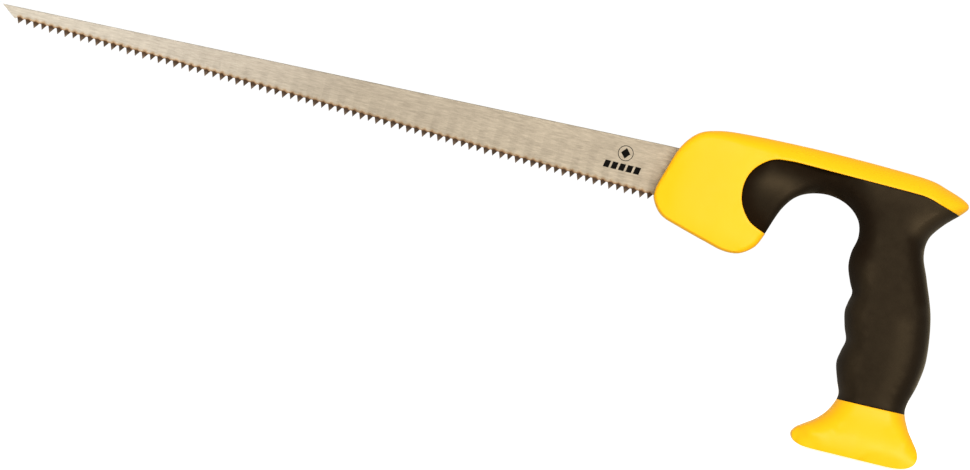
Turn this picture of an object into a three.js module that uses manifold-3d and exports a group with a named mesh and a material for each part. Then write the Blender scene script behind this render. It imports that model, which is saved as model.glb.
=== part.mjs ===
// Drywall saw: a set-toothed steel blade held in a two-shell plastic handle with a soft
// grip moulded round it.
//
// Frame, in millimetres: X runs along the blade with its tip at -X, Y is the thickness with
// the saw's left side at -Y, Z is up, and the origin is the centre of the flat butt.

import * as THREE from "three";
import { mergeVertices } from "three/addons/utils/BufferGeometryUtils.js";
import Module from "manifold-3d";

// Driving dimensions
const BLADE_THICKNESS = 1.2;
const BLADE_TIP = new THREE.Vector2(-415.5, 106.4);
const BACK_RISE = 0.0306; // of the blade's back, for each mm along it
const TEETH_FALL = 0.0314; // of the toothed edge
const BLADE_BACK_END_X = -90; // where the back stops and the tang narrows
const NOSE_FOOT = new THREE.Vector2(-408.8, 101.3); // where the nose's slanted cut meets the teeth
const TOOTH_COUNT = 82;
const TOOTH_PITCH = 3.5865;
const FIRST_GULLET = new THREE.Vector2(-407.9, 101.93);
const TOOTH_DEPTHS = [2.85, 2.45]; // of teeth bent to the left and to the right
const TOOTH_LEAN = 0.34; // where the tooth's point lies along its pitch
const TOOTH_SET = 0.35; // how far each point is bent sideways, to alternate sides
const HEEL_X = -100; // where the toothless stretch inside the handle ends
const TANG_STEP_X = -92; // where the tang's lower edge is level again
const TANG_SHOULDER = 6; // length of the slant from the back down to the tang
const TANG_END_X = -72;
const TANG_END_HALF_HEIGHT = 9;
const POCKET_MOUTH_X = -118; // the tang's pocket starts in front of the nose
const PIN_SPOTS = { front: -102, middle: -92, rear: -82 }; // x of the pins in the tang
const PIN_HEIGHT = 104.4;
const PIN_RADIUS = 2.5;
const PIN_LENGTH = 15;
const BOSS_RADIUS = 4.8;
const CLEARANCE = 0.3; // between neighbouring pieces
const SHELL_WALL = 2.8;
const GRIP_WALL = 2.5;
const INLAY_DEPTH = 2.6; // how far the grip's arch panel lies below the head's sides
const RIB_THICKNESS = 1.8;
const RIB_BITE = 1; // how far ribs and bosses run into the wall they stand on
const PEG_RADIUS = 2;
const PEG_LENGTH = 4;
const PEG_SPOTS = [[-32, 117.5], [-1, 112], [1, 36], [-1, 13]]; // x and z
const SPINE_RIBS = [-60, -44, -18]; // x
const GRIP_RIBS = [28, 45, 62, 79]; // z
const BAR_FLOOR = 100; // the bar's underside inside the grip
const ARCH_BACK_X = -21; // where the arch's back turns into the grip's front
const GRIP_TOP = 107;
const BUTT_LINE = 24; // height of the parting line between butt and soft grip

const ARC_STEPS = 12;
const CURVE_STEPS = 5;
const CORNER_STEPS = 3;
const BISECTIONS = 16;

const BLADE_STEEL = { color: 0xcfc5b4, roughness: 0.38, metalness: 0.9 };
const PIN_STEEL = { color: 0x9a9a98, roughness: 0.35, metalness: 1.0 };
const YELLOW_PLASTIC = { color: 0xffdc2d, roughness: 0.42, metalness: 0.0 };
const BLACK_RUBBER = { color: 0x2a2521, roughness: 0.75, metalness: 0.0 };

const wasm = await Module();
wasm.setup();

function toSolid(geometry) {
  geometry.deleteAttribute("normal");
  geometry.deleteAttribute("uv");
  const merged = mergeVertices(geometry, 1e-4);
  const vertProperties = new Float32Array(merged.attributes.position.array);
  const triVerts = new Uint32Array(merged.index.array);
  return new wasm.Manifold(new wasm.Mesh({ numProp: 3, vertProperties, triVerts }));
}

function toGeometry(solid) {
  const mesh = solid.getMesh();
  const geometry = new THREE.BufferGeometry();
  geometry.setAttribute("position", new THREE.BufferAttribute(mesh.vertProperties, 3));
  geometry.setIndex(new THREE.BufferAttribute(mesh.triVerts, 1));
  geometry.computeVertexNormals();
  return geometry;
}

// The largest body of a solid, without the hair-thin chips and voids that cuts between
// nearly touching curved faces leave.
function mainBody(solid) {
  return solid.decompose().reduce((best, body) => (body.volume() > best.volume() ? body : best));
}

function vectors(pairs) {
  return pairs.map(([x, z]) => new THREE.Vector2(x, z));
}

// A side-view outline (its second coordinate is height) made solid between two values of y.
function slab(shape, yMin, yMax) {
  const depth = yMax - yMin;
  const geometry = new THREE.ExtrudeGeometry(shape, {
    depth,
    bevelEnabled: false,
    curveSegments: CURVE_STEPS,
  });
  return geometry.rotateX(Math.PI / 2).translate(0, yMax, 0);
}

function box(x, y, z) {
  const geometry = new THREE.BoxGeometry(x[1] - x[0], y[1] - y[0], z[1] - z[0]);
  geometry.translate((x[0] + x[1]) / 2, (y[0] + y[1]) / 2, (z[0] + z[1]) / 2);
  return toSolid(geometry);
}

// A cylinder across the saw, between two values of y.
function crossCylinder(radius, x, z, yMin, yMax) {
  const geometry = new THREE.CylinderGeometry(radius, radius, yMax - yMin, ARC_STEPS * 2);
  return geometry.translate(x, (yMin + yMax) / 2, z);
}

// A smooth curve through [position, value] knots, as a function of position.
function smoothProfile(knots) {
  const samples = new THREE.SplineCurve(vectors(knots)).getPoints(knots.length * CURVE_STEPS * 2);
  return (position) => {
    const inside = THREE.MathUtils.clamp(position, samples[0].x, samples.at(-1).x);
    const next = Math.max(1, samples.findIndex((sample) => sample.x >= inside));
    const [low, high] = [samples[next - 1], samples[next]];
    return THREE.MathUtils.mapLinear(inside, low.x, high.x, low.y, high.y);
  };
}

// The handle's outline from the side, clockwise from the arch's lower front corner.
const silhouette = new THREE.Shape();
silhouette.moveTo(-62.1, 87);
silhouette.splineThru(vectors([
  [-65, 81], [-71, 76.6], [-78, 76], [-86, 77.9], [-100, 81.8], [-108, 84.6], [-112.6, 89.6], [-113.9, 95],
  [-111.3, 105], [-107.5, 116], [-101.2, 124], [-92, 127.4], [-80, 128.7], [-59, 129.5], [-38.3, 129.7],
  [-17.6, 129.4], [3, 128.5], [12, 126.4], [21.2, 123.1], [23.7, 120.2], [20.5, 116],
]));
silhouette.splineThru(vectors([
  [14.2, 109.8], [9.5, 102.6], [9.4, 94.5], [13.1, 85], [18.8, 69], [21.4, 51], [20.3, 39],
  [17.8, 29.5], [17.8, 24.5], [20.4, 18.5], [23.6, 13.9], [26.2, 10.2], [27.3, 6.8], [26.4, 3.6],
  [23.6, 1.4], [19.4, 0.3], [15, 0],
]));
silhouette.lineTo(-20, 0);
silhouette.splineThru(vectors([
  [-24.6, 0.4], [-27.9, 1.9], [-29.4, 4.7], [-27.9, 7.6], [-24.7, 10], [-20.3, 13.2], [-16.8, 17],
  [-14.2, 21.4], [-13, 26.5], [-14.9, 32], [-17.2, 39.5], [-16.6, 45], [-15.5, 50.5], [-17.4, 56],
  [-19, 62.5], [-18.6, 67], [-17.8, 71.6], [-19.8, 76], [-22.2, 82.5], [-22.4, 89], [-21, 96.5],
  [-23.1, 103.8], [-30, 109.4], [-40, 111.2], [-50.5, 108.1], [-57.1, 100.6],
]));
silhouette.closePath();
const silhouettePoints = silhouette.getPoints(CURVE_STEPS).slice(0, -1);

// The parting line between the hard handle and the soft grip, from the arch to the tail.
const parting = new THREE.Path();
parting.moveTo(-56, 86.2);
parting.splineThru(vectors([
  [-62, 87.6], [-70, 91.5], [-75.3, 99], [-76.2, 107.5], [-73.3, 114.8], [-66.5, 120.4],
  [-58, 121.8], [-50, 121.9],
]));
parting.lineTo(2.5, 121);
parting.lineTo(20.5, 116);
parting.lineTo(34, 112.2);
const partingPoints = parting.getPoints(CURVE_STEPS);

function edgeDistance(x, z) {
  const here = new THREE.Vector3(x, z, 0);
  const nearest = new THREE.Vector3();
  const distances = silhouettePoints.map((point, index) => {
    const next = silhouettePoints[(index + 1) % silhouettePoints.length];
    const start = new THREE.Vector3(point.x, point.y, 0);
    const side = new THREE.Line3(start, new THREE.Vector3(next.x, next.y, 0));
    if (side.distance() === 0) return here.distanceTo(start);
    return side.closestPointToPoint(here, true, nearest).distanceTo(here);
  });
  return Math.min(...distances);
}

// The last stretch of material along a line of constant x or z across the silhouette.
function lastSpan(axis, value) {
  const other = axis === "x" ? "y" : "x";
  const crossings = [];
  silhouettePoints.forEach((point, index) => {
    const next = silhouettePoints[(index + 1) % silhouettePoints.length];
    if ((point[axis] <= value) !== (next[axis] <= value)) {
      crossings.push(THREE.MathUtils.mapLinear(value, point[axis], next[axis], point[other], next[other]));
    }
  });
  return crossings.sort((a, b) => a - b).slice(-2);
}

// Moves one end of a span in until it lies the inset's distance from the silhouette.
function insetEnd(end, middle, inset, distanceAt) {
  if (distanceAt(end) >= inset) return end;
  let [outer, inner] = [end, middle];
  for (let step = 0; step < BISECTIONS; step++) {
    const half = (outer + inner) / 2;
    if (distanceAt(half) < inset) outer = half;
    else inner = half;
  }
  return inner;
}

function insetSpan(axis, value, inset, floor) {
  const span = lastSpan(axis, value);
  span[0] = Math.max(span[0], floor);
  if (inset === 0) return span;
  const middle = (span[0] + span[1]) / 2;
  const distanceAt = (along) => (axis === "x" ? edgeDistance(value, along) : edgeDistance(along, value));
  return span.map((end) => insetEnd(end, middle, inset, distanceAt));
}

// A rectangle with elliptical corners, anticlockwise, as [u, v] pairs. The corners' radii
// along u and v are given for u+v+, u-v+, u-v- and u+v-.
function roundedRing(uSpan, vSpan, radii) {
  const halfU = (uSpan[1] - uSpan[0]) / 2;
  const halfV = (vSpan[1] - vSpan[0]) / 2;
  const centre = [(uSpan[0] + uSpan[1]) / 2, (vSpan[0] + vSpan[1]) / 2];
  const signs = [[1, 1], [-1, 1], [-1, -1], [1, -1]];
  return signs.flatMap(([signU, signV], corner) => {
    const radiusU = Math.min(radii[corner][0], halfU * 0.96);
    const radiusV = Math.min(radii[corner][1], halfV * 0.96);
    return Array.from({ length: CORNER_STEPS + 1 }, (_, step) => {
      const angle = ((corner + step / CORNER_STEPS) * Math.PI) / 2;
      const u = centre[0] + signU * (halfU - radiusU) + radiusU * Math.cos(angle);
      const v = centre[1] + signV * (halfV - radiusV) + radiusV * Math.sin(angle);
      return [u, v];
    });
  });
}

// A closed solid through rings of equally many points, which turn anticlockwise seen from
// the last ring.
function loft(rings) {
  const sides = rings[0].length;
  const last = (rings.length - 1) * sides;
  const indices = [];
  for (let start = 0; start < last; start += sides) {
    for (let side = 0; side < sides; side++) {
      const here = start + side;
      const next = start + ((side + 1) % sides);
      indices.push(here, next, here + sides, next, next + sides, here + sides);
    }
  }
  for (let side = 1; side < sides - 1; side++) {
    indices.push(0, side + 1, side, last, last + side, last + side + 1);
  }
  const geometry = new THREE.BufferGeometry();
  geometry.setAttribute("position", new THREE.Float32BufferAttribute(rings.flat(2), 3));
  geometry.setIndex(indices);
  return toSolid(geometry);
}

// Stations from start to end, drawn closer together towards both ends.
function stations(start, end, count) {
  return Array.from({ length: count + 1 }, (_, step) => {
    const even = step / count;
    const eased = (1 - Math.cos(Math.PI * even)) / 2;
    return THREE.MathUtils.lerp(start, end, (even + eased) / 2);
  });
}

// Half the handle's thickness along the bar (head, spine and tail) and up the grip
const barHalfThickness = smoothProfile([
  [-113.9, 6], [-112.6, 8.4], [-109, 10.4], [-100, 11.8], [-84, 12.5], [-50, 12.7], [-15, 12.8],
  [4, 12], [15, 9.4], [21, 6.6], [23.8, 4],
]);
const gripHalfThickness = smoothProfile([
  [0, 13.6], [1.2, 15.8], [5, 17.2], [11, 16.4], [19, 13.8], [30, 13.4], [46, 14.4], [66, 14.2],
  [86, 13.2], [100, 12.5], [107, 12.2],
]);
const inlayDepth = smoothProfile([[-80, INLAY_DEPTH], [-44, INLAY_DEPTH], [-30, 1.6], [-18, 0.2], [24, 0.2]]);

// The head, spine and tail as one bar along X. With an inset it shrinks by that much all
// round; sunk says whether its sides lie as deep as the grip's arch panel.
function bar({ from, to, count, inset = 0, sunk = false }) {
  const rings = stations(from, to, count).map((x) => {
    const span = insetSpan("x", x, inset, x > ARCH_BACK_X ? BAR_FLOOR : 0);
    const halfThickness = barHalfThickness(x) - inset - (sunk ? inlayDepth(x) : 0);
    const top = [halfThickness * 0.7, 6];
    const bottom = sunk ? [halfThickness * 0.6, 5] : [4, 3.5];
    const ring = roundedRing([-halfThickness, halfThickness], span, [top, top, bottom, bottom]);
    return ring.map(([y, z]) => [x, y, z]);
  });
  return loft(rings);
}

// The grip and butt as one post along Z.
function post({ from, to, count, inset = 0 }) {
  const rings = stations(from, to, count).map((z) => {
    const span = insetSpan("y", Math.max(z, 0.02), inset, -Infinity);
    const halfThickness = gripHalfThickness(z) - inset;
    const depth = (span[1] - span[0]) / 2;
    const corner = [depth * 0.62, halfThickness * 0.8];
    const ring = roundedRing(span, [-halfThickness, halfThickness], [corner, corner, corner, corner]);
    return ring.map(([x, y]) => [x, y, z]);
  });
  return loft(rings);
}

// The block that holds all of the soft grip, grown by a margin across the parting line.
function gripBlock(margin) {
  const edge = partingPoints.map((point, index) => {
    const before = partingPoints[Math.max(index - 1, 0)];
    const after = partingPoints[Math.min(index + 1, partingPoints.length - 1)];
    const along = after.clone().sub(before).normalize();
    return new THREE.Vector2(point.x - along.y * margin, point.y + along.x * margin);
  });
  const shape = new THREE.Shape(edge);
  shape.lineTo(34, BUTT_LINE + 0.4 - margin);
  shape.lineTo(-34, BUTT_LINE - margin);
  shape.lineTo(-44, 70);
  return toSolid(slab(shape, -30, 30));
}

// The blade's back, and the line its teeth grow from, at a value of x
function backHeight(x) {
  return BLADE_TIP.y + (x - BLADE_TIP.x) * BACK_RISE;
}

function gulletHeight(x) {
  return FIRST_GULLET.y - (x - FIRST_GULLET.x) * TEETH_FALL;
}

// The tang's end, grown by a margin: its lower edge, its round end and the slant up to the
// blade's back.
function traceTangEnd(shape, margin) {
  const half = TANG_END_HALF_HEIGHT + margin;
  const backEnd = BLADE_BACK_END_X + TANG_SHOULDER + margin;
  shape.lineTo(TANG_STEP_X - margin, PIN_HEIGHT - half);
  shape.absarc(TANG_END_X - TANG_END_HALF_HEIGHT, PIN_HEIGHT, half, -Math.PI / 2, Math.PI / 2);
  shape.lineTo(backEnd, PIN_HEIGHT + half);
  shape.lineTo(BLADE_BACK_END_X + margin, backHeight(BLADE_BACK_END_X) + margin);
}

// The blade's outline, with its toothed edge first, and the points of the teeth.
function bladeOutline() {
  const shape = new THREE.Shape();
  const points = [];
  shape.moveTo(NOSE_FOOT.x, NOSE_FOOT.y);
  shape.lineTo(FIRST_GULLET.x, FIRST_GULLET.y);
  for (let tooth = 0; tooth < TOOTH_COUNT; tooth++) {
    const gullet = FIRST_GULLET.x + tooth * TOOTH_PITCH;
    const x = gullet + TOOTH_LEAN * TOOTH_PITCH;
    const point = new THREE.Vector2(x, gulletHeight(x) - TOOTH_DEPTHS[tooth % 2]);
    points.push(point);
    shape.lineTo(point.x, point.y);
    shape.lineTo(gullet + TOOTH_PITCH, gulletHeight(gullet + TOOTH_PITCH));
  }
  shape.lineTo(HEEL_X, gulletHeight(HEEL_X));
  traceTangEnd(shape, 0);
  shape.lineTo(BLADE_TIP.x, BLADE_TIP.y);
  for (const x of Object.values(PIN_SPOTS)) {
    const hole = new THREE.Path();
    hole.absarc(x, PIN_HEIGHT, PIN_RADIUS + CLEARANCE, 0, Math.PI * 2);
    shape.holes.push(hole);
  }
  return { shape, points };
}

// The flat blade, then each tooth's point bent sideways to alternate sides.
function makeBlade() {
  const { shape, points } = bladeOutline();
  const geometry = slab(shape, -BLADE_THICKNESS / 2, BLADE_THICKNESS / 2);
  const position = geometry.attributes.position;
  const near = 0.01;
  for (let index = 0; index < position.count; index++) {
    const tooth = Math.round((position.getX(index) - points[0].x) / TOOTH_PITCH);
    const point = points[tooth];
    if (!point) continue;
    const offX = Math.abs(position.getX(index) - point.x);
    const offZ = Math.abs(position.getZ(index) - point.y);
    if (offX > near || offZ > near) continue;
    const side = tooth % 2 === 0 ? -1 : 1;
    position.setY(index, position.getY(index) + side * TOOTH_SET);
  }
  return toSolid(geometry);
}

// The pocket for the blade's tang: the tang's outline with clearance on every side, open
// at the handle's nose.
function tangPocket() {
  const halfGap = BLADE_THICKNESS / 2 + CLEARANCE;
  const shape = new THREE.Shape();
  shape.moveTo(POCKET_MOUTH_X, gulletHeight(POCKET_MOUTH_X) - CLEARANCE);
  shape.lineTo(HEEL_X - CLEARANCE, gulletHeight(HEEL_X) - CLEARANCE);
  traceTangEnd(shape, CLEARANCE);
  shape.lineTo(POCKET_MOUTH_X, backHeight(POCKET_MOUTH_X) + CLEARANCE);
  return toSolid(slab(shape, -halfGap, halfGap));
}

// The space inside both shells, within walls of the given thickness.
function shellHollow(wall) {
  const head = bar({ from: -108, to: -79.6, count: 6, inset: wall });
  const underGrip = GRIP_WALL + CLEARANCE + wall;
  const spine = bar({ from: -80.5, to: 6, count: 9, inset: underGrip, sunk: true });
  const grip = post({ from: wall, to: GRIP_TOP, count: 9, inset: underGrip });
  return head.add(spine).add(grip);
}

// Ribs across the hollow, and bosses round the pins and pegs.
function shellStiffeners() {
  const wide = [-30, 30];
  const spineRibs = SPINE_RIBS.map((x) => box([x, x + RIB_THICKNESS], wide, [75, 130]));
  const gripRibs = GRIP_RIBS.map((z) => box([-30, 30], wide, [z, z + RIB_THICKNESS]));
  const bosses = Object.values(PIN_SPOTS).map((x) => (
    toSolid(crossCylinder(BOSS_RADIUS, x, PIN_HEIGHT, wide[0], wide[1]))
  ));
  const pegBosses = PEG_SPOTS.map(([x, z]) => (
    toSolid(crossCylinder(PEG_RADIUS + SHELL_WALL * 0.8, x, z, wide[0], wide[1]))
  ));
  const all = wasm.Manifold.union([...spineRibs, ...gripRibs, ...bosses, ...pegBosses]);
  return all.intersect(shellHollow(SHELL_WALL - RIB_BITE));
}

const outer = bar({ from: -113.85, to: 23.6, count: 34 }).add(post({ from: 0, to: GRIP_TOP, count: 27 }));
const softBar = bar({ from: -79, to: 23.5, count: 27, sunk: true });
const softOuter = softBar.add(post({ from: 18, to: GRIP_TOP, count: 25 }));

// Everything under the soft grip, shrunk from its surface.
function gripCore(inset) {
  const spine = bar({ from: -81, to: 17.5, count: 14, inset, sunk: true });
  return spine.add(post({ from: 14, to: GRIP_TOP, count: 14, inset }));
}

function makeShells() {
  const skin = outer.subtract(gripBlock(CLEARANCE / 2));
  const body = skin.add(gripCore(GRIP_WALL + CLEARANCE));
  const boreEnd = PIN_LENGTH / 2 + CLEARANCE;
  const pinBores = Object.values(PIN_SPOTS).map((x) => (
    toSolid(crossCylinder(PIN_RADIUS + CLEARANCE, x, PIN_HEIGHT, -boreEnd, boreEnd))
  ));
  const hollow = body.subtract(shellHollow(SHELL_WALL)).add(shellStiffeners());
  const fitted = hollow.subtract(tangPocket()).subtract(wasm.Manifold.union(pinBores));
  const pegs = PEG_SPOTS.map(([x, z]) => toSolid(crossCylinder(PEG_RADIUS, x, z, -PEG_LENGTH, PEG_LENGTH)));
  const sockets = PEG_SPOTS.map(([x, z]) => (
    toSolid(crossCylinder(PEG_RADIUS + CLEARANCE, x, z, -1, PEG_LENGTH + CLEARANCE))
  ));
  const leftSide = box([-200, 60], [-40, 0], [-10, 150]);
  const rightSide = box([-200, 60], [0, 40], [-10, 150]);
  const left = fitted.intersect(leftSide).add(wasm.Manifold.union(pegs));
  const right = fitted.intersect(rightSide).subtract(wasm.Manifold.union(sockets));
  return { left: mainBody(left), right: mainBody(right) };
}

function makeGrip() {
  return mainBody(softOuter.intersect(gripBlock(-CLEARANCE / 2)).subtract(gripCore(GRIP_WALL)));
}

function addPiece(group, name, geometry, look) {
  const mesh = new THREE.Mesh(geometry, new THREE.MeshStandardMaterial(look));
  mesh.name = name;
  group.add(mesh);
}

const saw = new THREE.Group();
addPiece(saw, "blade", toGeometry(makeBlade()), BLADE_STEEL);
const shells = makeShells();
addPiece(saw, "handle_shell_left", toGeometry(shells.left), YELLOW_PLASTIC);
addPiece(saw, "handle_shell_right", toGeometry(shells.right), YELLOW_PLASTIC);
addPiece(saw, "soft_grip", toGeometry(makeGrip()), BLACK_RUBBER);
for (const [spot, x] of Object.entries(PIN_SPOTS)) {
  const pin = crossCylinder(PIN_RADIUS, x, PIN_HEIGHT, -PIN_LENGTH / 2, PIN_LENGTH / 2);
  addPiece(saw, `tang_pin_${spot}`, pin, PIN_STEEL);
}

export default saw;
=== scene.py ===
"""A drywall saw: a toothed steel blade, a hard yellow handle in two halves, and a soft black grip."""

import math

import bmesh
import bpy
import numpy as np
from mathutils import Matrix, Vector
from mathutils.geometry import delaunay_2d_cdt


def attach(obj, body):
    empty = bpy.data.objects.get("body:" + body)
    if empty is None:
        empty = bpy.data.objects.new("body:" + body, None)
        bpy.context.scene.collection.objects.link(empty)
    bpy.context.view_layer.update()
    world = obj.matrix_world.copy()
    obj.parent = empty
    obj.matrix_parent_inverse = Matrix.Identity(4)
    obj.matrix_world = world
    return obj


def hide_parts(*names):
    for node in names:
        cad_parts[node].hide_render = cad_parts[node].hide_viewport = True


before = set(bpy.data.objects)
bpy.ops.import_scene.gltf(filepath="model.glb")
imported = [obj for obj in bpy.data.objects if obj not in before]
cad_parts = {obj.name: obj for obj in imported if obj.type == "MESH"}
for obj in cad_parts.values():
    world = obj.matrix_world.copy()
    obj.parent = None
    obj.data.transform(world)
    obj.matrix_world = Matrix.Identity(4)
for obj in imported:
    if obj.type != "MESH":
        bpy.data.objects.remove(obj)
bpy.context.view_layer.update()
MM = 0.001

# ---------------------------------------------------------------- lines in the side view, in mm


def spline(points, steps=12):
    """A smooth curve through the points, without the first of them."""
    points = [np.array(p, float) for p in points]
    last = len(points) - 1
    made = []
    for i in range(last):
        before, a, b, after = points[max(i - 1, 0)], points[i], points[i + 1], points[min(i + 2, last)]
        start, end = (b - before) / 2, (after - a) / 2
        for k in range(1, steps + 1):
            t = k / steps
            cubic = 2 * a - 2 * b + start + end
            square = 3 * b - 3 * a - 2 * start - end
            made.append(cubic * t**3 + square * t**2 + start * t + a)
    return made


def trace(start, *spans):
    """A line made of spans. A span of one point is straight, and a longer one is a smooth curve."""
    made = [np.array(start, float)]
    for span in spans:
        if len(span) == 1:
            made.append(np.array(span[0], float))
        else:
            made.extend(spline([made[-1], *span]))
    return made


def even(points, step):
    """The same line, with its points about a step apart."""
    points = np.array(points)
    along = np.concatenate([[0], np.cumsum(np.linalg.norm(np.diff(points, axis=0), axis=1))])
    at = np.linspace(0, along[-1], max(2, round(along[-1] / step)) + 1)
    return np.column_stack([np.interp(at, along, points[:, k]) for k in (0, 1)])


def split(points, height):
    """The two parts of a line, cut where it first crosses the height."""
    for i in range(2, len(points)):
        before = points[i - 1][1] - height(points[i - 1][0])
        after = points[i][1] - height(points[i][0])
        if before * after < 0:
            crossing = points[i - 1] + (points[i] - points[i - 1]) * before / (before - after)
            return [*points[:i], crossing], [crossing, *points[i:]]
    raise ValueError("the line doesn't cross that height")


def loop(*lines):
    """Lines joined end to end into a closed loop, without the repeated points."""
    return np.concatenate([line[:-1] for line in lines])


def normals(line, closed):
    """The unit normals on the right of a line's direction, one per point."""
    if closed:
        along = np.roll(line, -1, axis=0) - np.roll(line, 1, axis=0)
    else:
        along = np.gradient(line, axis=0)
    along /= np.linalg.norm(along, axis=1)[:, None]
    return np.column_stack([along[:, 1], -along[:, 0]])


def nearest(points, line):
    """Each point's distance to a line, and how far along the line its nearest place is."""
    a, b = line[:-1], line[1:]
    step = b - a
    length = np.linalg.norm(step, axis=1)
    along = np.concatenate([[0], np.cumsum(length)])
    distance, place = [], []
    for part in np.array_split(points, max(1, len(points) // 1500)):
        offset = part[:, None] - a[None]
        t = np.clip((offset * step).sum(2) / length**2, 0, 1)
        gap = np.linalg.norm(offset - t[..., None] * step, axis=2)
        best = gap.argmin(1)
        rows = np.arange(len(part))
        distance.append(gap[rows, best])
        place.append(along[best] + t[rows, best] * length[best])
    return np.concatenate(distance), np.concatenate(place)


def inside(points, ring):
    """Which points lie inside a closed ring."""
    a, b = ring, np.roll(ring, -1, axis=0)
    x, z = points[:, :1], points[:, 1:]
    crosses = (a[:, 1] > z) != (b[:, 1] > z)
    rise = np.where(a[:, 1] == b[:, 1], 1, b[:, 1] - a[:, 1])
    return (crosses & (x < a[:, 0] + (z - a[:, 1]) * (b[:, 0] - a[:, 0]) / rise)).sum(1) % 2 == 1


def ease(value, low, high):
    """0 below low, 1 above high, and smooth between."""
    t = np.clip((value - low) / (high - low), 0, 1)
    return t * t * (3 - 2 * t)


# ---------------------------------------------------------------- the handle's outline

INLAY_TOE = (-61.88, 87.6)
TAIL_CORNER = (20.5, 116)
STEP = 0.75


def seam_height(x):
    """The line where the grip ends above the butt."""
    return 24.22 + 0.013 * x


top_line = trace(
    INLAY_TOE,
    [(-62.1, 87)],
    [
        (-65, 81), (-71, 76.6), (-78, 76), (-86, 77.9), (-100, 81.8), (-108, 84.6), (-112.6, 89.6),
        (-113.9, 95), (-111.3, 105), (-107.5, 116), (-101.2, 124), (-92, 127.4), (-80, 128.7),
        (-59, 129.5), (-38.3, 129.7), (-17.6, 129.4), (3, 128.5), (12, 126.4), (21.2, 123.1),
        (23.7, 120.2), TAIL_CORNER,
    ],
)
lower_line = trace(
    TAIL_CORNER,
    [
        (14.2, 109.8), (9.5, 102.6), (9.4, 94.5), (13.1, 85), (18.8, 69), (21.4, 51), (20.3, 39),
        (17.8, 29.5), (17.8, 24.5), (20.4, 18.5), (23.6, 13.9), (26.2, 10.2), (27.3, 6.8), (26.4, 3.6),
        (23.6, 1.4), (19.4, 0.3), (15, 0),
    ],
    [(-20, 0)],
    [
        (-24.6, 0.4), (-27.9, 1.9), (-29.4, 4.7), (-27.9, 7.6), (-24.7, 10), (-20.3, 13.2), (-16.8, 17),
        (-14.2, 21.4), (-13, 26.5), (-14.9, 32), (-17.2, 39.5), (-16.6, 45), (-15.5, 50.5), (-17.4, 56),
        (-19, 62.5), (-18.6, 67), (-17.8, 71.6), (-19.8, 76), (-22.2, 82.5), (-22.4, 89), (-21, 96.5),
        (-23.1, 103.8), (-30, 109.4), (-40, 111.2), (-50.5, 108.1), (-57.1, 100.6), INLAY_TOE,
    ],
)
back_line, rest_line = split(lower_line, seam_height)
butt_line, front_line = split(rest_line, seam_height)
parting_line = trace(
    TAIL_CORNER,
    [(11, 118.8), (4, 120.7), (-4, 121.1)],
    [(-50, 121.9)],
    [(-58, 121.8), (-66.5, 120.4), (-73.3, 114.8), (-76.2, 107.5), (-75.3, 99), (-70, 91.5), INLAY_TOE],
)

top = even(top_line, STEP)
back = even(back_line, STEP)
butt = even(butt_line, STEP)
front = even(front_line, STEP)
parting = even(parting_line, STEP)
seam = even([butt[0], butt[-1]], STEP)

silhouette = loop(top, back, butt, front)

# The rounded edge runs all the way round, from the widest place of the butt's front to that of its back.
# Under them the butt only has a small radius to the flat that it stands on.
BUTT_FLARE_TOP = 12
butt_x = np.where(silhouette[:, 1] < BUTT_FLARE_TOP, silhouette[:, 0], 0)
turned = np.roll(silhouette, -butt_x.argmin(), axis=0)
rounded_count = (butt_x.argmax() - butt_x.argmin()) % len(silhouette)
rounded_line = turned[: rounded_count + 1]
base_line = np.concatenate([turned[rounded_count:], turned[:1]])

# ---------------------------------------------------------------- the handle's thickness

# Half of the thickness on the flats: of the head and spine by x, and of the butt and grip by z.
BAR_PROFILE = [
    (-116, 9.6), (-111, 11.1), (-103, 12.2), (-84, 12.6), (-50, 12.8),
    (-15, 12.8), (4, 12.2), (13, 10.2), (19, 7.6), (24, 4.4),
]
GRIP_PROFILE = [
    (0, 16.2), (0.8, 16.8), (2.5, 17.1), (6, 17.1), (11, 16.2), (19, 13.9), (24, 13.4),
    (30, 13.5), (46, 14.4), (66, 14.2), (86, 13.2), (100, 12.6), (112, 12.4),
]
bar_profile = np.array(trace(BAR_PROFILE[0], BAR_PROFILE[1:]))
grip_profile = np.array(trace(GRIP_PROFILE[0], GRIP_PROFILE[1:]))

# The head's profile holds in front of HEAD_END, and behind it the two blend between these heights.
HEAD_END = -26
BLEND_HEIGHTS = (90, 112)

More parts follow.
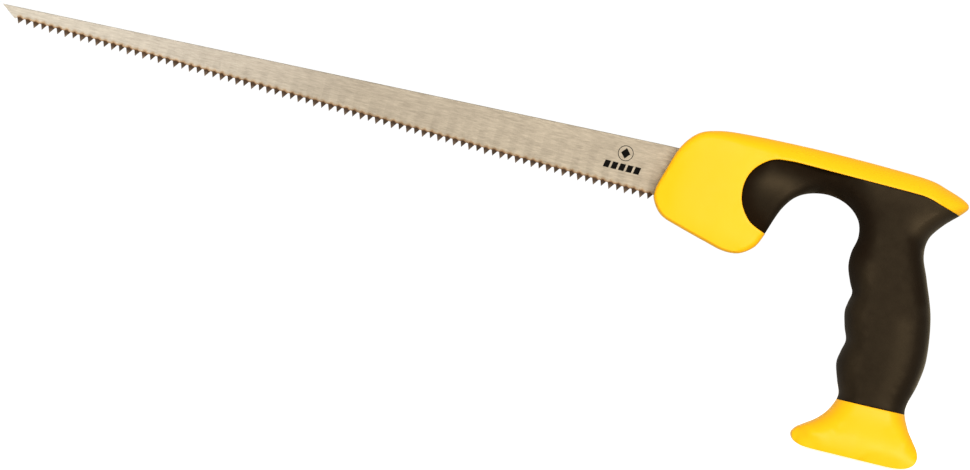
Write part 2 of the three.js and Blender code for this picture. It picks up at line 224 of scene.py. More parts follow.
# How the edge is rounded, at places round the outline: how far in, the share of the thickness
# that it drops, and how full its curve is.
EDGE_STYLES = [
    ((-29.4, 5), 2.2, 0.13, 2),
    ((-27.9, 7.6), 3, 0.19, 2),
    ((-24.7, 10), 5.5, 0.35, 2),
    ((-20.3, 13.2), 7.5, 0.5, 2),
    ((-16.2, 17.8), 8.2, 0.68, 2),
    ((-13.4, 24), 9, 0.94, 2),
    ((-17, 40), 9, 0.96, 2),
    ((-22.4, 89), 8.5, 0.96, 2),
    ((-23.1, 103.8), 7.5, 0.95, 1.45),
    ((-30, 109.4), 7.8, 0.95, 1.3),
    ((-40, 111.2), 8.5, 0.8, 1.35),
    ((-50.5, 108.1), 4, 0.3, 2),
    ((-60.5, 91.5), 3, 0.26, 2),
    ((-62.1, 87), 2.6, 0.24, 2),
    ((-78, 76), 2.2, 0.2, 2),
    ((-100, 81.8), 2.2, 0.2, 2),
    ((-113.9, 95), 2, 0.18, 2),
    ((-107.5, 116), 2.6, 0.24, 2),
    ((-98, 125.6), 3.4, 0.34, 1.9),
    ((-80, 128.7), 5.8, 0.52, 1.6),
    ((-38, 129.7), 8.8, 0.62, 1.55),
    ((3, 128.5), 8.8, 0.7, 1.55),
    ((16, 125), 6, 0.82, 1.6),
    ((23.7, 120.2), 4.2, 0.86, 2),
    ((20.5, 116), 5, 0.86, 2),
    ((9.4, 94.5), 9, 0.96, 2),
    ((17.8, 25), 8.5, 0.94, 2),
    ((20.4, 18.5), 6, 0.44, 2),
    ((25.6, 11), 4, 0.28, 2),
    ((27, 8.8), 2.6, 0.16, 2),
    ((27.3, 6.8), 2.2, 0.13, 2),
]
BASE_REACH = 2.2
BASE_DROP = 0.13


def edge_style(place):
    """The rounding's reach, drop and fullness at places along the rounded edge."""
    anchors = np.array([anchor for anchor, *_ in EDGE_STYLES], float)
    _, at = nearest(anchors, rounded_line)
    values = np.array([style for _, *style in EDGE_STYLES], float)
    return [np.interp(place, at, values[:, k]) for k in range(3)]


def flat_thickness(points):
    """Half of the thickness of the flats at points of the side view."""
    x, z = points[:, 0], points[:, 1]
    bar = np.interp(x, bar_profile[:, 0], bar_profile[:, 1])
    grip = np.interp(z, grip_profile[:, 0], grip_profile[:, 1])
    upper = np.where(x > HEAD_END, ease(z, *BLEND_HEIGHTS), 1)
    return bar * upper + grip * (1 - upper)


def rounded(distance, reach, fullness=2.0):
    """A rounded edge's height from 0 at the edge to 1 at its reach."""
    s = np.clip(distance / reach, 0, 1)
    return (1 - (1 - s) ** fullness) ** (1 / fullness)


def body_height(points):
    """Half of the thickness with the outer edge rounded."""
    distance, place = nearest(points, rounded_line)
    reach, drop, fullness = edge_style(place)
    side_cut = drop * (1 - rounded(distance, reach, fullness))
    base_cut = BASE_DROP * (1 - rounded(nearest(points, base_line)[0], BASE_REACH))
    return flat_thickness(points) * (1 - np.maximum(side_cut, base_cut))


def rim_distance(points):
    """How far points of the side view are from the line between the hard handle and the grip."""
    return np.minimum(nearest(points, parting)[0], nearest(points, seam)[0])


RIM_DROP = 0.35
PAD_TOP = (-69, 110.5)
PAD_DEPTH = 0.6
GROOVE_DEPTH = 1.5
GRIP_LEAST = 0.2


def hard_height(points):
    """Half of the hard handle's thickness, with the small radius at its edge with the grip."""
    return body_height(points) - RIM_DROP * (1 - rounded(rim_distance(points), 0.6))


def grip_height(points):
    """Half of the grip's thickness: a domed pad sunk into the head, and flush with the plastic elsewhere."""
    x, z = points[:, 0], points[:, 1]
    parting_distance, _ = nearest(points, parting)
    seam_distance, _ = nearest(points, seam)
    in_head = 1 - ease(x, -46, -24)
    dome = PAD_DEPTH + 0.013 * (z - PAD_TOP[1]) ** 2 + 0.0085 * (x - PAD_TOP[0]) ** 2
    groove = GROOVE_DEPTH * (1 - rounded(parting_distance, 4))
    flush_edge = RIM_DROP * (1 - rounded(parting_distance, 0.8))
    depth = in_head * (dome + groove) + (1 - in_head) * flush_edge
    lower_edge = 0.3 * (1 - rounded(seam_distance, 0.7))
    return np.maximum(body_height(points) - depth - lower_edge, GRIP_LEAST)


# ---------------------------------------------------------------- sheets of triangles in the side view


FIELD_SPACING = 1.4
FIELD_ROW_RISE = 0.866


def sheet(ring, row_lines):
    """Triangles inside a ring: rows beside each line where the surface bends, and an even field between."""
    rows = [ring]
    gaps = [0.0]
    for line, distances, closed in row_lines:
        side = normals(line, closed)
        whole = np.concatenate([line, line[:1]]) if closed else line
        for distance, gap in distances:
            moved = line + side * np.asarray(distance).reshape(-1, 1)
            clear_of_bends = nearest(moved, whole)[0] > 0.97 * np.abs(distance)
            rows.append(moved[clear_of_bends])
            gaps.append(gap)
    lowest, highest = ring.min(0), ring.max(0)
    columns = np.arange(lowest[0], highest[0], FIELD_SPACING)
    levels = np.arange(lowest[1], highest[1], FIELD_SPACING * FIELD_ROW_RISE)
    field = [(x + (k % 2) * FIELD_SPACING / 2, z) for k, z in enumerate(levels) for x in columns]
    rows.append(np.array(field))
    gaps.append(FIELD_SPACING * 0.72)
    closed_ring = np.concatenate([ring, ring[:1]])
    kept = []
    cells = {}

    def taken(point, gap):
        """Whether a kept point lies closer than the gap."""
        cx, cz = int(math.floor(point[0])), int(math.floor(point[1]))
        for i in (-1, 0, 1):
            for k in (-1, 0, 1):
                for other in cells.get((cx + i, cz + k), ()):
                    if (other[0] - point[0]) ** 2 + (other[1] - point[1]) ** 2 < gap * gap:
                        return True
        return False

    for points, gap in zip(rows, gaps):
        if gap:
            points = points[inside(points, ring)]
            points = points[nearest(points, closed_ring)[0] > gap * 0.8]
        for x, z in points:
            if gap and taken((x, z), gap):
                continue
            kept.append((float(x), float(z)))
            cells.setdefault((int(math.floor(x)), int(math.floor(z))), []).append((x, z))
    count = len(ring)
    edges = [(i, (i + 1) % count) for i in range(count)]
    verts, _, faces, *_ = delaunay_2d_cdt([Vector(p) for p in kept], edges, [], 1, 1e-5, False)
    points = np.array([(v.x, v.y) for v in verts])
    faces = np.array([list(face) for face in faces])
    triangles = []
    for a, b, c in faces[inside(points[faces].mean(1), ring)].tolist():
        area = (points[b][0] - points[a][0]) * (points[c][1] - points[a][1])
        area -= (points[b][1] - points[a][1]) * (points[c][0] - points[a][0])
        triangles.append((a, b, c) if area > 0 else (a, c, b))
    return points, triangles


def ring_edges(triangles):
    """The directed edges that only one triangle has."""
    seen = set()
    for a, b, c in triangles:
        seen.update([(a, b), (b, c), (c, a)])
    return [(a, b) for a, b in seen if (b, a) not in seen]


def relax(heights, triangles, weight, rounds):
    """Heights with each moved towards the mean of its neighbours, as far as its weight lets it."""
    corners = np.array(triangles)
    edges = np.concatenate([corners[:, [0, 1]], corners[:, [1, 2]], corners[:, [2, 0]]])
    pairs = np.concatenate([edges, edges[:, ::-1]])
    count = np.bincount(pairs[:, 0], minlength=len(heights))
    for _ in range(rounds):
        mean = np.bincount(pairs[:, 0], heights[pairs[:, 1]], minlength=len(heights)) / count
        heights = heights + weight * (mean - heights)
    return heights


def relaxed(points, triangles, heights):
    """Heights smoothed inside the rounded edge and at the butt's tips, but not beside the grip's edge."""
    edge, place = nearest(points, rounded_line)
    share = edge / edge_style(place)[0]
    tips = [np.linalg.norm(points - tip, axis=1) for tip in (rounded_line[0], rounded_line[-1])]
    tip_share = (1 - ease(np.minimum(*tips), 5, 9)) * ease(edge, 0.1, 0.4)
    free = np.maximum(ease(share, 0.85, 1.25), tip_share)
    return relax(heights, triangles, 0.6 * free * ease(rim_distance(points), 0.7, 1.6), 20)


def new_object(name, verts, faces, smooth_angle=38, values=None):
    """A mesh object from points in mm, smooth except at sharp edges.

    values is the name of an attribute and its number at each point.
    """
    mesh = bpy.data.meshes.new(name)
    bm = bmesh.new()
    layer = bm.verts.layers.float.new(values[0]) if values else None
    made = [bm.verts.new([c * MM for c in v]) for v in verts]
    if values:
        for vert, value in zip(made, values[1]):
            vert[layer] = value
    for face in faces:
        corners = [made[i] for i in face]
        if len(set(corners)) == len(corners):
            bm.faces.new(corners)
    bmesh.ops.remove_doubles(bm, verts=bm.verts, dist=1e-7)
    bmesh.ops.dissolve_degenerate(bm, dist=1e-7, edges=bm.edges)
    bmesh.ops.recalc_face_normals(bm, faces=bm.faces)
    bm.to_mesh(mesh)
    bm.free()
    for polygon in mesh.polygons:
        polygon.use_smooth = True
    mesh.set_sharp_from_angle(angle=math.radians(smooth_angle))
    obj = bpy.data.objects.new(name, mesh)
    bpy.context.scene.collection.objects.link(obj)
    return obj


# Rows of points beside the lines where the surface bends: how far from the line, and the least gap
# between neighbours. Beside the silhouette the distance is a share of the rounded edge's reach.
EDGE_ROWS = [(0.035, 0.2), (0.13, 0.3), (0.28, 0.4), (0.47, 0.55), (0.72, 0.7), (1.0, 0.8)]
RIM_ROWS = [(0.18, 0.15), (0.6, 0.35), (1.4, 0.6), (2.6, 0.8), (4.2, 0.9)]


def edge_rows():
    """Rows that follow the silhouette inwards, closer together where the edge turns faster."""
    _, place = nearest(silhouette, rounded_line)
    reach = edge_style(place)[0]
    return (silhouette, [(np.maximum(share * reach, 0.22 + share), gap) for share, gap in EDGE_ROWS], True)


def rim_rows(side):
    """Rows close to the line between the hard handle and the grip, on one side of it."""
    distances = [(side * distance, gap) for distance, gap in RIM_ROWS]
    return [(parting, distances, False), (seam, distances[:3], False), (seam[::-1], distances[:3], False)]


# ---------------------------------------------------------------- the hard handle's halves

SHELL_WALL = 2.8
EDGE_WALL = 2.6
HOLLOW_SLOPE = 1.6
PARTING_GROOVE = 0.1
BLADE_HALF = 0.6
SLOT_END = -70
SLOT_HEIGHTS = (92.4, 116.6)


def shell_inner(points, height, ring):
    """How far the shell is hollowed out from the middle plane, with a slot for the blade."""
    distance, _ = nearest(points, np.concatenate([ring, ring[:1]]))
    hollow = np.clip(np.minimum(height - SHELL_WALL, (distance - EDGE_WALL) * HOLLOW_SLOPE), 0, None)
    x, z = points[:, 0], points[:, 1]
    in_slot = (x < SLOT_END) & (z > SLOT_HEIGHTS[0]) & (z < SLOT_HEIGHTS[1])
    return np.where(in_slot, np.maximum(hollow, BLADE_HALF + 0.08), hollow)


def half_shell(name, side, rings):
    """One moulded half, with a fine groove where it meets the other half.

    side is -1 on the left and 1 on the right.
    """
    verts, faces = [], []
    for ring in rings:
        points, triangles = sheet(ring, [edge_rows(), *rim_rows(1), *rim_rows(-1)])
        height = relaxed(points, triangles, hard_height(points))
        inner = shell_inner(points, height, ring)
        border = nearest(points, np.concatenate([ring, ring[:1]]))[0] < 1e-4
        outward = -normals(ring, True)
        inset = points.copy()
        for i in np.flatnonzero(border):
            k = np.linalg.norm(ring - points[i], axis=1).argmin()
            inset[i] = points[i] - outward[k] * PARTING_GROOVE
        outside = len(verts)
        inside_face = outside + len(points)
        step = inside_face + len(points)
        verts += [(x, side * h, z) for (x, z), h in zip(points, height)]
        verts += [(x, side * h, z) for (x, z), h in zip(inset, inner)]
        verts += [(x, side * max(h, PARTING_GROOVE), z) for (x, z), h in zip(points, inner)]
        for a, b, c in triangles:
            faces.append((outside + a, outside + b, outside + c))
            faces.append((inside_face + c, inside_face + b, inside_face + a))
        for a, b in ring_edges(triangles):
            faces.append((outside + b, outside + a, step + a, step + b))
            faces.append((step + b, step + a, inside_face + a, inside_face + b))
    return new_object(name, verts, faces)


yellow_rings = [loop(top, parting), loop(butt, seam[::-1])]
shell_left = half_shell("handle_half_left", -1, yellow_rings)
shell_right = half_shell("handle_half_right", 1, yellow_rings)

# ---------------------------------------------------------------- the soft grip

grip_ring = loop(back, seam, front, parting[::-1])


def make_grip():
    """The soft grip as one closed solid."""
    points, triangles = sheet(grip_ring, [edge_rows(), *rim_rows(1), *rim_rows(-1)])
    height = relaxed(points, triangles, grip_height(points))
    count = len(points)
    verts = [(x, -h, z) for (x, z), h in zip(points, height)]
    verts += [(x, h, z) for (x, z), h in zip(points, height)]
    faces = []
    for a, b, c in triangles:
        faces.append((a, b, c))
        faces.append((count + c, count + b, count + a))
    for a, b in ring_edges(triangles):
        faces.append((b, a, count + a, count + b))
    return new_object("grip_skin", verts, faces)


grip = make_grip()

# Painted light on the grip. Painted highlight lanes make it lighter and glossier, and painted shade lanes
# make it darker and matt, over a usual level elsewhere: a line, half its width, and how much.
PAINTED_SHADE_LANES = [
    ([(-62, 121), (-47, 120), (-38, 116.5), (-29, 113.5), (-22, 107), (-19, 99), (-18, 90)], 5.2, 0.95),
    ([(-70, 118), (-75, 110), (-74.5, 102), (-70, 95), (-62, 90)], 4, 1),
    ([(-20.5, 94), (-21.5, 84), (-17.5, 72)], 2.2, 0.6),
    ([(2.5, 100), (5.5, 93), (8.5, 86), (12.5, 75)], 2.8, 0.75),
    ([(14.5, 66), (16, 46), (13.5, 30)], 2.4, 0.25),
]
PAINTED_HIGHLIGHT_LANES = [
    ([(-66, 111.5), (-58, 111)], 6, 0.8),
    ([(5, 107), (12, 116)], 5.5, 1),
    ([(8.6, 97), (11.5, 88), (20, 67), (21.2, 52), (19.6, 37)], 1.7, 1),
    ([(8, 62), (9, 46), (7, 28)], 4, 0.45),
    ([(-14.5, 100), (-13.5, 84), (-13.5, 66), (-11.5, 50), (-11, 28)], 3.2, 0.4),
    ([(-24, 119), (4, 119)], 4, 0.25),
]
USUAL_GLOSS_AND_LIGHT = 0.45


def grip_gloss_and_painted_light(points):
    """How glossy the grip is at points of the side view, from 0 to 1. The same value places the painted
    highlight and painted shade in its colour.
    """
    gloss_and_painted_light = np.full(len(points), USUAL_GLOSS_AND_LIGHT)
    for lanes, limit in ((PAINTED_HIGHLIGHT_LANES, 1), (PAINTED_SHADE_LANES, 0)):
        for line, width, strength in lanes:
            distance, _ = nearest(points, even(trace(line[0], line[1:]), 1))
            gloss_and_painted_light += (limit - gloss_and_painted_light) * np.exp(-((distance / width) ** 2)) * strength
    return gloss_and_painted_light


grip_points = np.array([(v.co.x, v.co.z) for v in grip.data.vertices]) / MM
# The grip's attribute holds its gloss and where painted highlight and painted shade go into its colour.
gloss_and_painted_light_layer = grip.data.attributes.new("gloss_and_painted_light", "FLOAT", "POINT")
gloss_and_painted_light_layer.data.foreach_set("value", grip_gloss_and_painted_light(grip_points).astype(np.float32))

# ---------------------------------------------------------------- the blade

TIP = (-415.5, 106.4)
NOSE = (-408.8, 101.3)
FIRST_GULLET = (-407.9, 101.93)
HEEL = (-113, 93)
TANG_END = (-72, 93.2)
BACK_RISE = 0.0306
BACK_TOP = 116
BACK_CHAMFER_IN = 0.2
BACK_CHAMFER_DOWN = 0.25
TEETH_FALL = 0.0314
TEETH = 82
PITCH = 3.5865
TOOTH_LEAN = 0.34
TOOTH_TIP_HALF = 0.2
DEEP_BEVEL = 0.18
SHALLOW_BEVEL = 0.02

# Teeth bent to the left and to the right: depth, the gaps before and after the root, and the bend.
TOOTH_STYLES = [(2.85, 0.2, 0.35, -0.42), (2.45, 0.42, 0.6, 0.36)]


def gullet_height(x):
    """Where the teeth grow out of the blade."""
    return FIRST_GULLET[1] - TEETH_FALL * (x - FIRST_GULLET[0])


def back_height(x):
    """The blade's back, level once it is inside the handle."""
    return min(TIP[1] + BACK_RISE * (x - TIP[0]), BACK_TOP)


def blade_foot():
    """The corners of the blade's lower edge from tip to tang, and the teeth by the corner they start at."""
    corners = [TIP, NOSE]
    teeth = {}
    for i in range(TEETH):
        depth, gap_before, gap_after, bend = TOOTH_STYLES[i % 2]
        start = FIRST_GULLET[0] + i * PITCH
        point = start + TOOTH_LEAN * PITCH
        growth = min(1, 0.88 + 0.04 * i)  # the first three are smaller
        teeth[len(corners)] = (point, gullet_height(point) - depth * growth, bend)
        for root in (start + gap_before, start + PITCH - gap_after):
            corners.append((root, gullet_height(root)))
    return [*corners, HEEL, TANG_END], teeth


def make_blade():
    """The blade with its tang: flat sides, a broken back edge, and ground teeth bent to each side in turn.

    Its attribute tooth_side is 1 on teeth bent to the left, 0 on the others, and 0.5 elsewhere.
    """
    verts, faces, sides = [], [], []

    def add(point, side=0.5):
        verts.append(point)
        sides.append(side)
        return len(verts) - 1

    corners, teeth = blade_foot()
    rings = []
    for x, z in corners:
        back_z = back_height(x)
        shoulder = max(z, back_z - BACK_CHAMFER_DOWN)
        half_ring = [(x, -BLADE_HALF, z), (x, -BLADE_HALF, shoulder)]
        half_ring.append((x, -BLADE_HALF + BACK_CHAMFER_IN, back_z))
        other_half = [(x, -y, z) for x, y, z in reversed(half_ring)]
        rings.append([add(point) for point in half_ring + other_half])
    for i, (a, b) in enumerate(zip(rings, rings[1:])):
        for k in range(5):
            faces.append((a[k], b[k], b[k + 1], a[k + 1]))
        if i not in teeth:
            faces.append((a[5], b[5], b[0], a[0]))
            continue
        x, z, bend = teeth[i]
        side = 1 if bend < 0 else 0

        def halfway(root, y):
            """A point halfway down the tooth from one of its root's corners."""
            root_x, _, root_z = verts[root]
            return add(((root_x + x) / 2, y, (root_z + z) / 2), side)

        front_left = halfway(a[0], bend / 2 - BLADE_HALF + SHALLOW_BEVEL)
        front_right = halfway(a[5], bend / 2 + BLADE_HALF - DEEP_BEVEL)
        rear_left = halfway(b[0], bend / 2 - BLADE_HALF + DEEP_BEVEL)
        rear_right = halfway(b[5], bend / 2 + BLADE_HALF - SHALLOW_BEVEL)
        tip_left = add((x, bend - TOOTH_TIP_HALF, z), side)
        tip_right = add((x, bend + TOOTH_TIP_HALF, z), side)
        faces.append((a[0], front_left, rear_left, b[0]))
        faces.append((front_left, tip_left, rear_left))
        faces.append((a[5], b[5], rear_right, front_right))
        faces.append((front_right, rear_right, tip_right))
        faces.append((a[0], a[5], front_right, front_left))
        faces.append((front_left, front_right, tip_right, tip_left))
        faces.append((b[0], rear_left, rear_right, b[5]))
        faces.append((rear_left, tip_left, tip_right, rear_right))
    faces.append(tuple(rings[0]))
    faces.append(tuple(reversed(rings[-1])))
    return new_object("blade_steel", verts, faces, 25, ("tooth_side", sides))


blade = make_blade()

MARK_CENTRE = (-130.4, 107.8)
RING_SIDES = 32
RING_RADII = (3.5, 3.2)
DIAMOND_HALF = (2.1, 2.4)
BAR_COUNT = 5
BAR_START = -8.6
BAR_PITCH = 3.45
BAR_WIDTH = 2.5
BAR_SLANT = 0.6
BAR_HEIGHTS = (-8, -4.8)
INK_DEPTHS = (BLADE_HALF + 0.03, BLADE_HALF - 0.01)


def mark_shapes():
    """A badge of a ring with a diamond in it, over a row of plain bars: points, and faces between them."""
    x, z = MARK_CENTRE
    points, faces = [], []
    for i in range(RING_SIDES):
        angle = math.tau * i / RING_SIDES
        points += [(x + r * math.cos(angle), z + r * math.sin(angle)) for r in RING_RADII]
        k = (i + 1) % RING_SIDES
        faces.append((2 * i, 2 * k, 2 * k + 1, 2 * i + 1))
    across, up = DIAMOND_HALF
    outlines = [[(x - across, z), (x, z - up), (x + across, z), (x, z + up)]]
    foot, head = (z + height for height in BAR_HEIGHTS)
    for k in range(BAR_COUNT):
        left = x + BAR_START + BAR_PITCH * k
        right = left + BAR_WIDTH
        outlines.append([(left, foot), (right, foot), (right + BAR_SLANT, head), (left + BAR_SLANT, head)])
    for outline in outlines:
        faces.append(tuple(range(len(points), len(points) + len(outline))))
        points += outline
    return points, faces


def ink(name, points, shapes):
    """Thin printed shapes on the blade's left side, with walls round their free edges."""
    count = len(points)
    verts = [(x, -depth, z) for depth in INK_DEPTHS for x, z in points]
    faces = [*shapes, *(tuple(count + i for i in reversed(shape)) for shape in shapes)]
    edges = [(shape[i - 1], shape[i]) for shape in shapes for i in range(len(shape))]
    for a, b in edges:
        if (b, a) not in edges:
            faces.append((b, a, count + a, count + b))
    return new_object(name, verts, faces, 20)


mark = ink("blade_mark", *mark_shapes())

# ---------------------------------------------------------------- materials


class Nodes:
    """A small helper that adds shader nodes and links them."""

    def __init__(self, name):
        self.material = bpy.data.materials.new(name)
        self.material.use_nodes = True
        self.tree = self.material.node_tree
        self.shader = next(n for n in self.tree.nodes if n.type == "BSDF_PRINCIPLED")
        self.place = self.add("ShaderNodeTexCoord").outputs["Object"]

    def add(self, kind, **settings):
        """A node with its properties set."""
        node = self.tree.nodes.new(kind)
        for key, value in settings.items():
            setattr(node, key, value)
        return node

    def link(self, source, target):
        """Join an output to an input."""
        self.tree.links.new(source, target)

    def math(self, operation, a, b=0.0):
        """The result of a math node on numbers or outputs."""
        node = self.add("ShaderNodeMath", operation=operation)
        for socket, value in zip(node.inputs, (a, b)):
            if isinstance(value, (int, float)):
                socket.default_value = value
            else:
                self.link(value, socket)
        return node.outputs[0]

    def noise(self, scale, detail, stretch=(1, 1, 1), roughness=0.5):
        """Noise in the object's own space, finer along each axis by its stretch."""
        mapping = self.add("ShaderNodeMapping")
        mapping.inputs["Scale"].default_value = stretch
        self.link(self.place, mapping.inputs["Vector"])
        node = self.add("ShaderNodeTexNoise")
        node.inputs["Scale"].default_value = scale
        node.inputs["Detail"].default_value = detail
        node.inputs["Roughness"].default_value = roughness
        self.link(mapping.outputs[0], node.inputs["Vector"])
        return node.outputs["Fac"]

    def ramp(self, factor, *stops):
        """A colour ramp through stops of a position and a colour."""
        node = self.add("ShaderNodeValToRGB")
        elements = node.color_ramp.elements
        while len(elements) < len(stops):
            elements.new(0.5)
        for element, (position, colour) in zip(elements, stops):
            element.position = position
            element.color = (*colour, 1)
        self.link(factor, node.inputs["Fac"])
        return node.outputs["Color"]

    def multiply(self, a, b):
        """Two colours multiplied."""
        node = self.add("ShaderNodeMix", data_type="RGBA", blend_type="MULTIPLY")
        node.inputs["Factor"].default_value = 1.0
        self.link(a, node.inputs["A"])
        self.link(b, node.inputs["B"])
        return node.outputs["Result"]

    def bump(self, height, strength, distance):
        """Small relief from a height."""
        node = self.add("ShaderNodeBump")
        node.inputs["Strength"].default_value = strength
        node.inputs["Distance"].default_value = distance
        self.link(height, node.inputs["Height"])
        self.drive("Normal", node.outputs[0])

    def drive(self, name, source):
        """Let a node's output set one of the shader's inputs."""
        self.link(source, self.shader.inputs[name])

    def set(self, **values):
        """Set the shader's own inputs, named with _ for each space."""
        for key, value in values.items():
            self.shader.inputs[key.replace("_", " ")].default_value = value


def grey(value):
    """A grey as a colour."""
    return (value, value, value)


def plastic():
    """Yellow moulded plastic, with a fine texture and slow changes of colour and gloss."""
    n = Nodes("moulded_plastic")
    n.drive("Base Color", n.ramp(n.noise(28, 2), (0.35, (0.93, 0.472, 0.004)), (0.65, (0.95, 0.490, 0.005))))
    n.drive("Roughness", n.ramp(n.noise(160, 3), (0.3, grey(0.36)), (0.7, grey(0.44))))
    n.bump(n.noise(2600, 2), 0.05, 0.0002)
    n.set(Specular_IOR_Level=0.15)
    return n.material


def rubber():
    """Soft black rubber that is glossier where the polish attribute is high, with a painted highlight in its
    lighter colour there and painted shade in its darker colour where the attribute is low.
    """
    n = Nodes("soft_rubber")
    attribute = n.add("ShaderNodeAttribute", attribute_name="gloss_and_painted_light")
    mottle = n.math("MULTIPLY", n.math("SUBTRACT", n.noise(260, 3), 0.5), 0.22)
    gloss_and_painted_light = n.math("ADD", attribute.outputs["Fac"], mottle)
    # The base colours paint light: a darker painted shade where the value is low and a lighter painted
    # highlight where it is high. The change in roughness is real gloss.
    matte_painted_shade = (0.0, (0.0076, 0.0045, 0.0026))
    usual = (USUAL_GLOSS_AND_LIGHT, (0.0102, 0.0073, 0.0046))
    glossy_painted_highlight = (1.0, (0.024, 0.0178, 0.0106))
    n.drive("Base Color", n.ramp(gloss_and_painted_light, matte_painted_shade, usual, glossy_painted_highlight))
    n.drive("Roughness", n.ramp(gloss_and_painted_light, (0.0, grey(0.95)), (USUAL_GLOSS_AND_LIGHT, grey(0.6)), (1.0, grey(0.42))))
    n.bump(n.noise(1800, 3), 0.25, 0.0002)
    n.set(Specular_IOR_Level=0.15, Specular_Tint=(1, 0.78, 0.5, 1))
    return n.material


def steel():
    """Brushed steel, paler towards the tip, with dark hardened teeth and a brown fade above them."""
    n = Nodes("blade_finish")
    parts = n.add("ShaderNodeSeparateXYZ")
    n.link(n.place, parts.inputs[0])
    x, z = parts.outputs["X"], parts.outputs["Z"]

    streaks = n.noise(1, 4, (150, 150, 1100), 0.6)
    fine = n.noise(1, 4, (420, 420, 3800), 0.7)
    blotches = n.noise(1, 3, (45, 45, 160), 0.6)
    grain = n.math("ADD", n.math("MULTIPLY", streaks, 0.5), n.math("MULTIPLY", fine, 0.5))
    mottle = n.math("ADD", n.math("MULTIPLY", grain, 0.75), n.math("MULTIPLY", blotches, 0.25))
    along = n.math("DIVIDE", n.math("ADD", x, 0.415), 0.3)
    body = n.ramp(
        along,
        (0.0, (0.465, 0.447, 0.41)),
        (0.27, (0.392, 0.368, 0.333)),
        (0.55, (0.293, 0.264, 0.22)),
        (1.0, (0.3, 0.268, 0.218)),
    )
    tone = n.ramp(mottle, (0.38, (0.78, 0.77, 0.76)), (0.62, (1.13, 1.13, 1.13)))

    # The height over the teeth's roots in mm. It wanders, and it is less over each tooth, so that the dark
    # reaches up there. The nose has no teeth.
    fall = n.math("MULTIPLY", n.math("SUBTRACT", x, FIRST_GULLET[0] * MM), -TEETH_FALL)
    over_roots = n.math("SUBTRACT", n.math("SUBTRACT", z, fall), FIRST_GULLET[1] * MM)
    wander = n.math("SUBTRACT", n.noise(500, 2), 0.5)
    first_tooth = (FIRST_GULLET[0] + 0.4 * PITCH) * MM
    turn = n.math("MULTIPLY", n.math("SUBTRACT", x, first_tooth), math.tau / (PITCH * MM))
    scallop = n.math("MULTIPLY", n.math("COSINE", turn), 0.35)
    height = n.math("SUBTRACT", n.math("ADD", n.math("MULTIPLY", over_roots, 1 / MM), wander), scallop)
    on_nose = n.math("LESS_THAN", x, FIRST_GULLET[0] * MM)
    height = n.math("ADD", height, n.math("MULTIPLY", on_nose, 3))

    # Painted shade: the colours sit higher on teeth bent to the right, so their points are paler, and the
    # teeth bent to the left stay darker as if shaded.
    side = n.add("ShaderNodeAttribute", attribute_name="tooth_side")
    bent_left = n.math("GREATER_THAN", side.outputs["Fac"], 0.5)
    bent_right = n.math("LESS_THAN", side.outputs["Fac"], 0.5)
    height = n.math("ADD", height, n.math("MULTIPLY", bent_right, -0.7))
    height = n.math("ADD", height, n.math("MULTIPLY", bent_left, -0.1))
    hardened = n.ramp(
        n.math("DIVIDE", n.math("ADD", height, 3), 6),
        (0.0, (0.32, 0.26, 0.23)),
        (0.15, (0.20, 0.148, 0.112)),
        (0.35, (0.10, 0.055, 0.026)),
        (0.47, (0.082, 0.036, 0.009)),
        (0.53, (0.27, 0.14, 0.055)),
        (0.60, (0.78, 0.57, 0.38)),
        (0.70, (0.97, 0.91, 0.84)),
        (0.80, (1, 1, 1)),
    )
    n.drive("Base Color", n.multiply(n.multiply(body, tone), hardened))
    n.drive("Roughness", n.ramp(grain, (0.3, grey(0.55)), (0.7, grey(0.4))))
    n.bump(grain, 0.15, 0.0001)
    n.set(Metallic=0.35, Specular_IOR_Level=0.25)
    return n.material


def ink_black():
    """Matt black print."""
    n = Nodes("printed_ink")
    n.drive("Base Color", n.ramp(n.noise(700, 2), (0.3, grey(0.003)), (0.7, grey(0.006))))
    n.drive("Roughness", n.ramp(n.noise(300, 2), (0.3, grey(0.7)), (0.7, grey(0.8))))
    n.set(Specular_IOR_Level=0.03)
    return n.material


def pin_metal():
    """Turned steel."""
    n = Nodes("turned_pin")
    n.drive("Base Color", n.ramp(n.noise(900, 3, (1, 8, 1)), (0.3, grey(0.5)), (0.7, grey(0.62))))
    n.drive("Roughness", n.ramp(n.noise(500, 2), (0.3, grey(0.25)), (0.7, grey(0.38))))
    n.set(Metallic=1.0)
    return n.material


def floor_paint():
    """White paint that glows a little, as a lit studio floor does."""
    n = Nodes("floor_white")
    n.drive("Base Color", n.ramp(n.noise(3, 2), (0.3, grey(0.9)), (0.7, grey(0.93))))
    n.set(Roughness=0.9, Specular_IOR_Level=0.1, Emission_Color=(1, 1, 1, 1), Emission_Strength=0.7)
    return n.material


yellow = plastic()
for half in (shell_left, shell_right):
    half.data.materials.append(yellow)
    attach(half, "root")
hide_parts("handle_shell_left")
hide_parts("handle_shell_right")
grip.data.materials.append(rubber())
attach(grip, "root")
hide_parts("soft_grip")
blade.data.materials.append(steel())
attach(blade, "root")
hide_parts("blade")
mark.data.materials.append(ink_black())
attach(mark, "root")
pin_finish = pin_metal()
for name in ("tang_pin_front", "tang_pin_middle", "tang_pin_rear"):
    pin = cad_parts[name]
    pin.data.materials.clear()
    pin.data.materials.append(pin_finish)

# ---------------------------------------------------------------- floor, light and camera

FLOOR_HALF = 6
FLOOR_DROP = 0.0005
floor_mesh = bpy.data.meshes.new("floor")
floor_corners = [(x * FLOOR_HALF, y * FLOOR_HALF, 0) for x, y in ((-1, -1), (1, -1), (1, 1), (-1, 1))]
floor_mesh.from_pydata(floor_corners, [], [(0, 1, 2, 3)])
floor = bpy.data.objects.new("floor", floor_mesh)
bpy.context.scene.collection.objects.link(floor)
floor_mesh.materials.append(floor_paint())
floor.location.z = -FLOOR_DROP
floor.visible_diffuse = False
floor.visible_glossy = False

LIGHT_TARGET = (-0.12, 0, 0.08)
WARM_WHITE = (1, 0.92, 0.8)


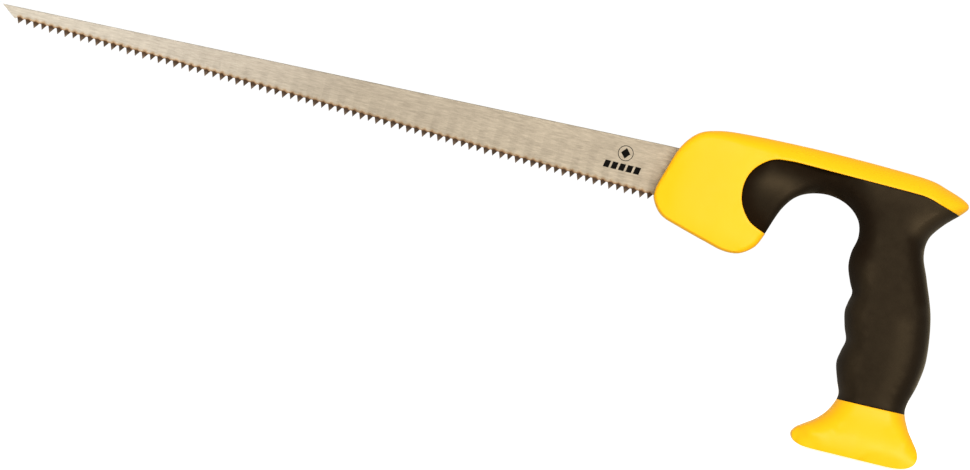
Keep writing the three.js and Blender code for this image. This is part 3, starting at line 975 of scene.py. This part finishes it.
def softbox(name, place, size, power):
    """A rectangular area light that points at the saw."""
    data = bpy.data.lights.new(name, "AREA")
    data.shape = "RECTANGLE"
    data.size, data.size_y = size
    data.energy = power
    data.color = WARM_WHITE
    obj = bpy.data.objects.new(name, data)
    bpy.context.scene.collection.objects.link(obj)
    obj.location = place
    aim = Vector(LIGHT_TARGET) - Vector(place)
    obj.rotation_euler = aim.to_track_quat("-Z", "Y").to_euler()
    obj.visible_camera = False
    return obj


softbox("key_softbox", (0.45, -2.25, 0.42), (1.4, 0.9), 49)
fill_light = softbox("fill_softbox", (-1.5, -1.9, 0.5), (1.2, 0.9), 21)
back_light = softbox("back_softbox", (-0.5, 2.3, 0.7), (1.2, 0.9), 20)
for soft_only in (fill_light, back_light):
    soft_only.visible_glossy = False

world = bpy.data.worlds.new("studio")
bpy.context.scene.world = world
world.use_nodes = True
tree = world.node_tree


def world_math(operation, *values):
    """A math node of the world's own."""
    node = tree.nodes.new("ShaderNodeMath")
    node.operation = operation
    for socket, value in zip(node.inputs, values):
        if isinstance(value, (int, float)):
            socket.default_value = value
        else:
            tree.links.new(value, socket)
    return node.outputs[0]


def world_step(value, low, high):
    """0 below low, 1 above high, and smooth between."""
    node = tree.nodes.new("ShaderNodeMapRange")
    node.interpolation_type = "SMOOTHSTEP"
    tree.links.new(value, node.inputs["Value"])
    node.inputs["From Min"].default_value = low
    node.inputs["From Max"].default_value = high
    return node.outputs["Result"]


def world_mix(share, a, b):
    """One colour, or another one where the share is 1."""
    node = tree.nodes.new("ShaderNodeMix")
    node.data_type = "RGBA"
    tree.links.new(share, node.inputs["Factor"])
    for value, socket in ((a, node.inputs["A"]), (b, node.inputs["B"])):
        if isinstance(value, tuple):
            socket.default_value = value
        else:
            tree.links.new(value, socket)
    return node.outputs["Result"]


# The studio is a soft grey room, warmer behind the saw on the handle's side, with a white backdrop
# at the horizon in the four directions of the axes.
ROOM_COLOUR = (0.52, 0.485, 0.43, 1)
WARM_COLOUR = (1.15, 0.98, 0.65, 1)
BACKDROP_COLOUR = (1.03, 1.03, 1.03, 1)
direction = tree.nodes.new("ShaderNodeSeparateXYZ")
tree.links.new(tree.nodes.new("ShaderNodeTexCoord").outputs["Generated"], direction.inputs[0])
behind = world_step(direction.outputs["Y"], 0.35, 0.97)
handle_side = world_step(direction.outputs["X"], -0.4, -0.05)
across_x, across_y, rise = (world_math("ABSOLUTE", direction.outputs[axis]) for axis in "XYZ")
level = world_math("SUBTRACT", 1.0, world_step(rise, 0.06, 0.16))
on_axis = world_step(world_math("MAXIMUM", across_x, across_y), 0.985, 0.995)
room = world_mix(world_math("MULTIPLY", behind, handle_side), ROOM_COLOUR, WARM_COLOUR)
surroundings = world_mix(world_math("MULTIPLY", level, on_axis), room, BACKDROP_COLOUR)
background = next(n for n in tree.nodes if n.type == "BACKGROUND")
tree.links.new(surroundings, background.inputs["Color"])

ROLL = math.radians(13.8)
CAMERA_DISTANCE = 5.0
SENSOR_WIDTH = 36
VIEW_WIDTH = 0.43165
VIEW_CENTRE = (-0.18255, 0.05755)
camera_data = bpy.data.cameras.new("camera")
camera_data.sensor_width = SENSOR_WIDTH
camera_data.lens = SENSOR_WIDTH * CAMERA_DISTANCE / VIEW_WIDTH
camera_data.clip_end = 50
camera = bpy.data.objects.new("camera", camera_data)
bpy.context.scene.collection.objects.link(camera)
right = Vector((math.cos(ROLL), 0, math.sin(ROLL)))
up = Vector((-math.sin(ROLL), 0, math.cos(ROLL)))
turn = Matrix((right, up, (0, -1, 0))).transposed().to_4x4()
camera.matrix_world = Matrix.Translation((VIEW_CENTRE[0], -CAMERA_DISTANCE, VIEW_CENTRE[1])) @ turn
bpy.context.scene.camera = camera
bpy.context.scene.view_settings.view_transform = "Standard"
